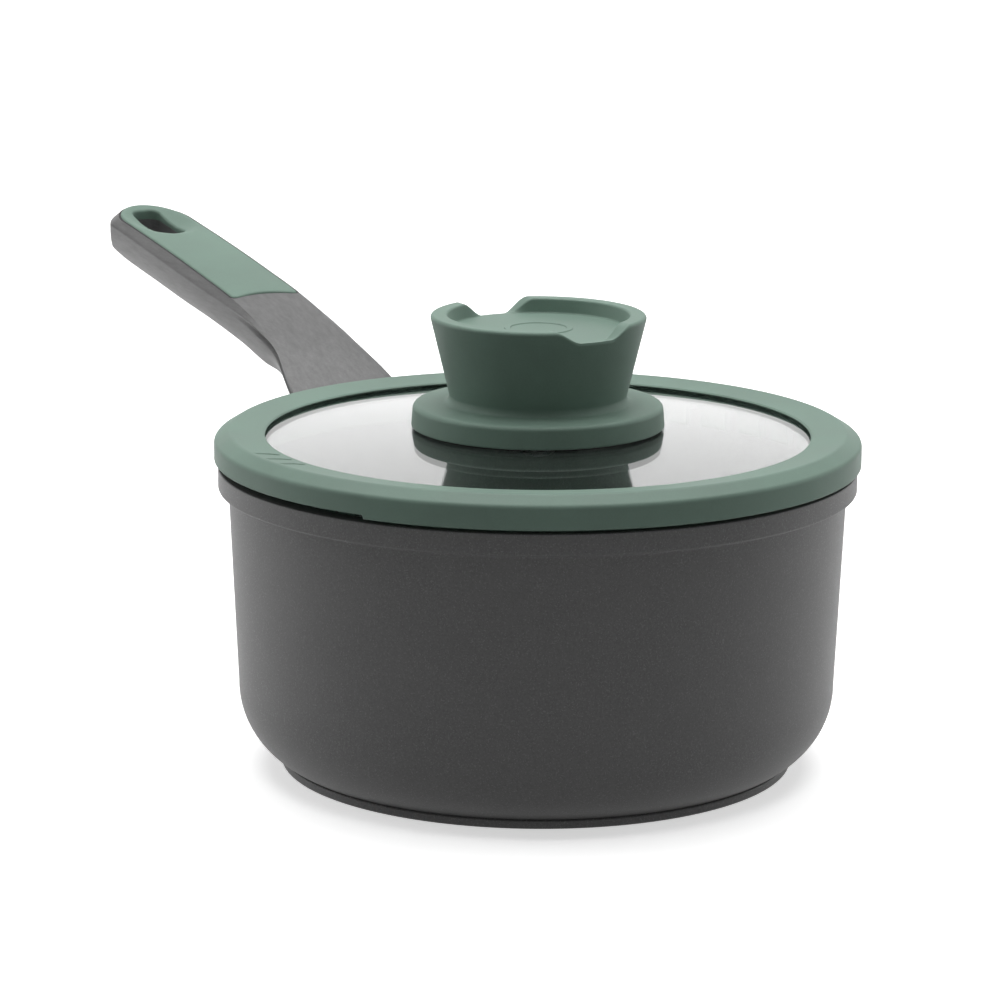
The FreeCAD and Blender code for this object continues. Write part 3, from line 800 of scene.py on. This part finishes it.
def inlay_mesh():
    edge = 0.7
    lip = 0.7
    outer = plan_loop(INLAY_HALF - 0.25, TIP_L - 0.25, INLAY_END + 0.3)
    hole = hole_loop()
    ring_outer = offset_loop(outer, edge)
    ring_inner = hole_loop(lip)
    points, tris = sheet_between(ring_outer, ring_inner, 1.3)
    verts = [(x, y, inlay_height(x, y)) for x, y in points]
    faces = list(tris)
    steps = 6
    rounding = []
    for i in range(steps + 1):
        angle = math.pi / 2 * i / steps
        loop = offset_loop(outer, edge * (1 - math.sin(angle)))
        drop = edge * (1 - math.cos(angle))
        rounding.append([(x, y, inlay_height(x, y) - drop) for x, y in loop])
    rounding.append([(x, y, along(1, -x) - 1.3) for x, y in outer])
    rounding.append([(x, y, along(1, -x) - INLAY_T) for x, y in outer])
    loft_loops(verts, faces, rounding)
    inner_round = []
    for i in range(steps + 1):
        angle = math.pi / 2 * i / steps
        loop = hole_loop(lip * (1 - math.sin(angle)))
        drop = lip * (1 - math.cos(angle))
        inner_round.append([(x, y, inlay_height(x, y) - drop) for x, y in loop])
    inner_round.append([
        (x, y, (inlay_height(x, y) - lip) * 0.5 + liner_floor(x) * 0.5) for x, y in hole
    ])
    inner_round.append([(x, y, liner_floor(x)) for x, y in hole])
    liner = hole_loop(LINER_T)
    inner_round.append([(x, y, liner_floor(x)) for x, y in liner])
    inner_round.append([(x, y, along(1, -x) - INLAY_T) for x, y in liner])
    loft_loops(verts, faces, inner_round)
    points, tris = sheet_between(outer, liner, 4.0)
    base = len(verts)
    verts += [(x, y, along(1, -x) - INLAY_T) for x, y in points]
    faces += [tuple(base + v for v in tri) for tri in tris]
    return verts, faces


def shade_line_tray_mesh():
    """Black tray under the silicone; its near-black rim is painted shade, the fine dark line round the
    inlay standing in for the shadow in the gap.
    """
    inner_wall = plan_loop(INLAY_HALF - 0.23, TIP_L - 0.23, INLAY_END + 0.28)
    outer_wall = plan_loop(INLAY_HALF + 0.2, TIP_L + 0.2, INLAY_END - 0.1)
    hole = hole_loop(LINER_T + 0.05)
    verts, faces = [], []
    top, floor, low = 0.0, -INLAY_T - 0.02, -INLAY_T - CARRIER_T
    levels = [
        [(x, y, along(1, -x) + floor) for x, y in inner_wall],
        [(x, y, along(1, -x) + top) for x, y in inner_wall],
        [(x, y, along(1, -x) + top) for x, y in outer_wall],
        [(x, y, along(1, -x) + low) for x, y in outer_wall],
    ]
    loft_loops(verts, faces, levels)
    loft_loops(verts, faces, [
        [(x, y, along(1, -x) + floor) for x, y in hole],
        [(x, y, along(1, -x) + low) for x, y in hole],
    ])
    for loop, level in ((inner_wall, floor), (outer_wall, low)):
        points, tris = sheet_between(loop, hole, 4.0)
        base = len(verts)
        verts += [(x, y, along(1, -x) + level) for x, y in points]
        faces += [tuple(base + v for v in tri) for tri in tris]
    return verts, faces


verts, faces = handle_mesh()
handle = build("handle_grip", verts, faces, "pan", ("handle_body",), 30.0)

pocket_loop = plan_loop(INLAY_HALF + 0.22, TIP_L + 0.22, INLAY_END - 0.12)


def pocket_cutter():
    """Prism whose floor follows the handle's top, for the inlay's seat."""
    inner = hole_loop(LINER_T + 0.1)
    verts, faces = [], []
    drop = INLAY_T + CARRIER_T + 0.03
    loft_loops(verts, faces, [
        [(x, y, along(1, -x) - drop) for x, y in pocket_loop],
        [(x, y, ABOVE_HANDLE) for x, y in pocket_loop],
    ])
    points, tris = sheet_between(pocket_loop, inner, 3.0)
    base = len(verts)
    verts += [(x, y, along(1, -x) - drop) for x, y in points]
    faces += [tuple(base + v for v in tri) for tri in tris]
    floor = [(x, y, liner_floor(x, LINER_DEEP + 0.05)) for x, y in inner]
    loft_loops(verts, faces, [[(x, y, along(1, -x) - drop) for x, y in inner], floor])
    base = len(verts)
    verts += floor
    faces.append(tuple(range(base, base + len(inner))))
    base = len(verts)
    verts += [(x, y, ABOVE_HANDLE) for x, y in pocket_loop]
    faces.append(tuple(range(base, base + len(pocket_loop))))
    obj = link_mesh("pocket", in_metres(verts), faces)
    tidy_mesh(obj)
    return obj


def disc_loop(radius, x):
    return [(x + radius * math.cos(a), radius * math.sin(a)) for a in even_angles(48)]


socket = rounded([
    (-LUG_END - LUG_GAP, -LUG_W / 2 - LUG_GAP, 3.0), (-60.0, -LUG_W / 2 - LUG_GAP, 0),
    (-60.0, LUG_W / 2 + LUG_GAP, 0), (-LUG_END - LUG_GAP, LUG_W / 2 + LUG_GAP, 3.0),
])
carve(handle, [
    pocket_cutter(),
    prism(hole_loop(), 80.0, 130.0),
    prism(socket, LUG_LOW - LUG_GAP, LUG_HIGH + LUG_GAP),
    prism(disc_loop(COUNTERBORE_R, -SCREW_L), 30.0, SCREW_SEAT_Z),
    prism(disc_loop(CLEARANCE_R, -SCREW_L), 50.0, 56.0),
], 30.0)
paint(handle, "handle_plastic")

verts, faces = inlay_mesh()
inlay = build("handle_grip_inlay", verts, faces, "pan", ("handle_inlay",), 50.0)
paint(inlay, "handle_silicone")

# The tray's near-black rim is painted shade for the shadow in the gap round the inlay.
verts, faces = shade_line_tray_mesh()
carrier = build("inlay_tray_painted_shade", verts, faces, "pan", ("inlay_carrier",), 40.0)
paint(carrier, "black_plastic")


# ------------------------------------------------------------------ lid
def glass_height(r):
    return GLASS_TOP_Z - (GLASS_TOP_Z - GLASS_FLAT_Z) * (min(r, GLASS_FLAT_R) / GLASS_FLAT_R) ** 2


def glass_outline():
    radii = [GLASS_HOLE_R + (GLASS_FLAT_R - GLASS_HOLE_R) * i / 24 for i in range(25)]
    top = [(r, glass_height(r)) for r in radii] + [(GLASS_FLAT_END_R, GLASS_FLAT_Z)]
    half = GLASS_T / 2
    edge = [
        (GLASS_R - GLASS_EDGE_R + GLASS_EDGE_R * math.sin(a), GLASS_FLAT_Z - half + half * math.cos(a))
        for a in [math.pi * i / 12 for i in range(13)]
    ]
    low = [(GLASS_FLAT_END_R, GLASS_FLAT_Z - GLASS_T)]
    low += [(r, glass_height(r) - GLASS_T) for r in radii[::-1]]
    return top + edge + low


verts, faces = lathe(glass_outline(), even_angles(192))
glass = build("lid_pane", verts, faces, "lid", ("lid_glass",))
paint(glass, "lid_glass")


def rim_angles():
    """Angles round the rim, closer together where the marks and the skirt's steps are."""
    angles = set()
    for i in range(288):
        angles.add(round(i * 1.25, 4))
    fine = 0.1
    for i in range(int(20 / fine)):
        angles.add(round(VENT_AZ - MARK_SPAN + i * fine, 4))
    for middle in (VENT_AZ, VENT_AZ - 180.0):
        for side in (-1, 1):
            for k in range(-4, 5):
                angles.add(round(middle + side * VENT_HALF + k * 0.12, 4))
    return [math.radians(a) for a in sorted(angles)]


def turn_between(angle, middle):
    """Turn in degrees from a middle to an angle in radians, between -180 and 180."""
    return (math.degrees(angle) - middle + 180.0) % 360.0 - 180.0


# Slanted marks on the rim's top: outer end radius and turn, inner end radius and turn
MARKS = ((80.2, -5.5, 75.7, -4.0), (79.6, 0.0, 75.5, 1.2), (79.3, 5.0, 75.9, 6.6))


def mark_depth(r, angle):
    """How deep the slanted marks are cut at a point on the rim's top."""
    turn = turn_between(angle, VENT_AZ)
    if abs(turn) > MARK_SPAN:
        return 0.0
    x, y = r * math.radians(turn), r
    deepest = 0.0
    for r_out, a_out, r_in, a_in in MARKS:
        ax, ay = r_out * math.radians(a_out), r_out
        bx, by = r_in * math.radians(a_in), r_in
        dx, dy = bx - ax, by - ay
        t = min(1.0, max(0.0, ((x - ax) * dx + (y - ay) * dy) / (dx * dx + dy * dy)))
        gap = math.hypot(x - ax - dx * t, y - ay - dy * t)
        deepest = max(deepest, MARK_DEPTH * (1 - smooth_step((gap - MARK_HALF) / MARK_SOFT)))
    return deepest


def rim_bend(r, z, angle):
    """Sinks the marks into the top and lifts the skirt over the vents."""
    height = z
    if z > 89.2 and 74.0 < r < 82.0:
        height -= mark_depth(r, angle)
    reach = 84.2
    if r > 79.3 and z < reach:
        turn = min(abs(turn_between(angle, VENT_AZ)), abs(turn_between(angle, VENT_AZ - 180.0)))
        lift = 1 - smooth_step((turn - VENT_HALF) / 0.3 + 0.5)
        lowest = SEAT_Z if r < 83.75 else SKIRT_Z
        height += lift * (VENT_Z - lowest) * min(1.0, (reach - z) / (reach - lowest))
    return r, height


rim_top = rounded([
    (SKIRT_R, SKIRT_Z, 0.5), (SKIRT_R, 88.6, 1.6), (82.4, 91.1, 1.6), (73.3, 90.1, 0.5),
    (72.6, 89.6, 0.2), (74.0, 89.2, 0.2), (74.4, 88.95, 0), (79.05, 88.95, 0), (79.05, 84.85, 0),
    (73.6, 84.85, 0), (73.6, 83.6, 0.5), (77.0, 82.6, 0.6), (79.4, 82.6, 0),
    (79.4, SEAT_Z, 0), (83.4, SEAT_Z, 0.3), (83.7, SKIRT_Z + 0.3, 0.3),
], fine=0.3)
dense_top = []
for first, second in zip(rim_top, rim_top[1:] + rim_top[:1]):
    dense_top.append(first)
    if first[1] > 90.0 and second[1] > 90.0 and 74.5 < first[0] < 81.5:
        pieces = int((first[0] - second[0]) / 0.25)
        for k in range(1, pieces):
            dense_top.append((first[0] + (second[0] - first[0]) * k / pieces,
                              first[1] + (second[1] - first[1]) * k / pieces))
verts, faces = lathe(dense_top, rim_angles(), rim_bend)
rim = build("lid_rim_ring", verts, faces, "lid", ("lid_rim",), 45.0)
paint(rim, "rim_silicone")


def strainer_ring():
    """The rim's plug ring, cut by narrow slots on the marked side and wide ones opposite."""
    outline = rounded([
        (76.9, 83.0, 0), (77.6, 76.8, 0.6), (79.2, 76.8, 0.6), (79.4, 83.0, 0),
    ], fine=0.5)
    verts, faces = lathe(outline, even_angles(256))
    ring = build("lid_rim_plug", verts, faces, "lid", (), 45.0)
    cutters = []
    for middle, width, number in ((VENT_AZ, 3.0, 9), (VENT_AZ - 180.0, 5.0, 6)):
        spread = 2 * VENT_HALF - 8.0
        for i in range(number):
            turn = middle + (i - (number - 1) / 2) * spread / (number - 1)
            corners = rounded([
                (-width / 2, SLOT_LOW, 0), (width / 2, SLOT_LOW, 0),
                (width / 2, SLOT_TOP, width * 0.3), (-width / 2, SLOT_TOP, width * 0.3),
            ])
            angle = math.radians(turn)
            points = []
            for radius in (SLOT_IN_R, SLOT_OUT_R):
                for side, z in corners:
                    points.append((
                        radius * math.cos(angle) - side * math.sin(angle),
                        radius * math.sin(angle) + side * math.cos(angle), z,
                    ))
            cutter = link_mesh("slot", in_metres(points), prism_faces(len(corners)))
            tidy_mesh(cutter)
            cutters.append(cutter)
    carve(ring, cutters, 45.0)
    paint(ring, "rim_silicone")


strainer_ring()


# ------------------------------------------------------------------ knob
# Notches in the knob's lip: azimuth, half width, how far the dish rolls down in them
NOTCHES = ((180.0, 11.0, 0.7), (4.5, 11.8, -0.6))
NOTCH_SOFT = 7.0


def notch_share(r, angle):
    """1 where the knob's lip stands, 0 in the floor of a notch, soft between."""
    share = 1.0
    for azimuth, half, _ in NOTCHES:
        turn = math.radians(turn_between(angle, azimuth))
        if math.cos(turn) <= 0:
            continue
        side = abs(r * math.sin(turn))
        share = min(share, smooth_step((side - half + NOTCH_SOFT) / NOTCH_SOFT))
    return share


def cone_radius(z):
    return WAIST_R + (KNOB_R - WAIST_R) * (z - WAIST_Z) / (KNOB_TOP - WAIST_Z)


def knob_bend(r, z, angle):
    """Presses the lip down into the notches, where the dish rolls over the knob's edge."""
    base = DISH_Z - PRESS_DEPTH
    if r < DISH_R - 1.0 or z < base:
        return r, z
    share = notch_share(r, angle)
    roll = NOTCHES[0 if math.cos(angle) < 0 else 1][2]
    if z <= DISH_Z + 0.01 and r < DISH_EDGE_R:
        return r, z
    outermost = DISH_Z - roll
    on_wall = z < KNOB_TOP - 0.02 and r > cone_radius(z) - 0.12
    if on_wall:
        low_z = base + (z - base) * (outermost - base) / (KNOB_TOP - base)
        low_r = cone_radius(low_z) + (r - cone_radius(z))
    else:
        reach = (r - DISH_R) / (KNOB_R - DISH_R)
        rise = min(1.0, max(0.0, (KNOB_TOP - z) / (KNOB_TOP - DISH_Z))) if r < LIP_IN_R else 0.0
        low_z = DISH_Z + 0.01 - roll * max(0.0, reach) ** 2 * (1 - rise)
        if r > ROLL_R:
            low_z = outermost + (low_z - outermost) * max(0.0, (KNOB_R - r) / (KNOB_R - ROLL_R))
        low_r = DISH_R + (r - DISH_R) * (cone_radius(outermost) - DISH_R) / (KNOB_R - DISH_R)
    return low_r + (r - low_r) * share, low_z + (z - low_z) * share


def knob_angles():
    angles = set(round(i * 1.5, 4) for i in range(240))
    for azimuth, half, _ in NOTCHES:
        for side in (-1, 1):
            edge = math.degrees(math.asin((half - NOTCH_SOFT / 2) / LIP_MIDDLE_R))
            for k in range(-30, 31):
                angles.add(round((azimuth + side * edge + k * 0.4) % 360.0, 4))
    return [math.radians(a) for a in sorted(angles)]


knob_outline = rounded([
    (0.0, KNOB_Z, 0), (KNOB_SKIRT_R, KNOB_Z, 0), (KNOB_SKIRT_R, KNOB_SKIRT_Z, 0.1),
    (KNOB_FLANGE_R, KNOB_SKIRT_Z, 0.4), (33.4, 97.9, 1.4), (WAIST_R, WAIST_Z, 1.8),
    (cone_radius(DISH_Z - PRESS_DEPTH), DISH_Z - PRESS_DEPTH, 0),
    (cone_radius(DISH_Z - 2.0), DISH_Z - 2.0, 0), (cone_radius(DISH_Z + 1.0), DISH_Z + 1.0, 0),
    (KNOB_R, KNOB_TOP, 0.9), (24.4, KNOB_TOP, 0.7),
    (DISH_R, DISH_Z, 0.6), (9.2, DISH_Z, 0.1), (9.0, DISH_Z + 0.25, 0.1), (7.6, DISH_Z + 0.25, 0.1),
    (7.4, DISH_Z, 0.1), (0.0, DISH_Z, 0),
], closed=False, fine=0.4)
verts, faces = lathe(knob_outline, knob_angles(), knob_bend)
knob = build("knob_grip", verts, faces, "lid", ("knob_cover",), 50.0)
paint(knob, "knob_silicone")


# ------------------------------------------------------------------ surroundings
def pale_material(name, glow):
    """Pale paper with a faint mottle, softly lit from within so that it stays even."""
    mat, nodes, links, bsdf = material(name)
    tone = noise(nodes, links, object_coords(nodes), 3.0, 2.0)
    colour = ramp(nodes, links, tone, ((0.3, grey(0.86)), (0.7, grey(0.88))))
    links.new(colour, bsdf.inputs["Base Color"])
    bsdf.inputs["Roughness"].default_value = 0.75
    bsdf.inputs["Emission Color"].default_value = (1.0, 1.0, 1.0, 1.0)
    bsdf.inputs["Emission Strength"].default_value = glow
    return mat


def backdrop():
    """Pale floor disc and, far outside it, a wall that curves up all round."""
    turns = 128
    floor_r, sweep_r = 2.4, 1.4
    floor = [(0.0, 0.0), (0.6, 0.0), (floor_r, 0.0)]
    sweep = [math.pi / 24 * i for i in range(13)]
    wall = [(floor_r + sweep_r * math.sin(a), sweep_r * (1 - math.cos(a))) for a in sweep]
    wall.append((3.8, 4.0))
    for name, outline, glow in (("floor", floor, 0.54), ("backdrop", wall, 0.75)):
        verts, faces = [], []
        for r, z in outline:
            for angle in even_angles(turns):
                verts.append((r * math.cos(angle), r * math.sin(angle), z - 0.0002))
        for i in range(len(outline) - 1):
            first, second = i * turns, (i + 1) * turns
            for k in range(turns):
                n = (k + 1) % turns
                faces.append((first + k, first + n, second + n, second + k))
        obj = link_mesh(name, verts, faces)
        tidy_mesh(obj)
        obj.data.materials.append(pale_material(name, glow))
        obj.visible_diffuse = False
        obj.visible_glossy = name == "floor"


# Camera: place in metres, turns in degrees, lens in millimetres
CAMERA_PLACE = (0.98351, -0.54517, 0.32031)
CAMERA_TILT, CAMERA_ROLL, CAMERA_TURN = 77.510, -0.273, 61.571
CAMERA_LENS = 154.44
LIGHT_AIM = Vector((0.0, 0.0, 0.06))

backdrop()

camera = bpy.data.cameras.new("camera")
camera.lens = CAMERA_LENS
camera.sensor_width = 36.0
camera.clip_start, camera.clip_end = 0.05, 30.0
camera_object = bpy.data.objects.new("camera", camera)
camera_object.location = CAMERA_PLACE
camera_object.rotation_euler = tuple(math.radians(a) for a in (CAMERA_TILT, CAMERA_ROLL, CAMERA_TURN))
bpy.context.scene.collection.objects.link(camera_object)
bpy.context.scene.camera = camera_object


def softbox(name, azimuth, elevation, distance, width, height, power):
    """Rectangular light; azimuth is measured from the camera's side, positive to its right."""
    heading = math.radians(CAMERA_TURN - 90.0 + azimuth)
    rise = math.radians(elevation)
    place = Vector((
        math.cos(heading) * math.cos(rise), math.sin(heading) * math.cos(rise), math.sin(rise),
    )) * distance + LIGHT_AIM
    light = bpy.data.lights.new(name, "AREA")
    light.shape = "RECTANGLE"
    light.size, light.size_y = width, height
    light.energy = power
    obj = bpy.data.objects.new(name, light)
    obj.location = place
    obj.rotation_euler = (place - LIGHT_AIM).to_track_quat("Z", "Y").to_euler()
    bpy.context.scene.collection.objects.link(obj)


softbox("top_softbox", 180.0, 78.0, 1.5, 1.7, 1.5, 30.0)
softbox("back_softbox", 180.0, 14.0, 2.3, 3.4, 1.2, 12.6)
softbox("left_softbox", -106.0, 16.0, 1.5, 0.8, 1.2, 5.2)
softbox("right_softbox", 112.0, 16.0, 1.5, 0.8, 1.2, 4.2)

world = bpy.data.worlds.new("studio")
world.use_nodes = True
background = world.node_tree.nodes["Background"]
background.inputs["Color"].default_value = (1.0, 1.0, 1.0, 1.0)
background.inputs["Strength"].default_value = 0.2
bpy.context.scene.world = world
bpy.context.scene.view_settings.view_transform = "Standard"
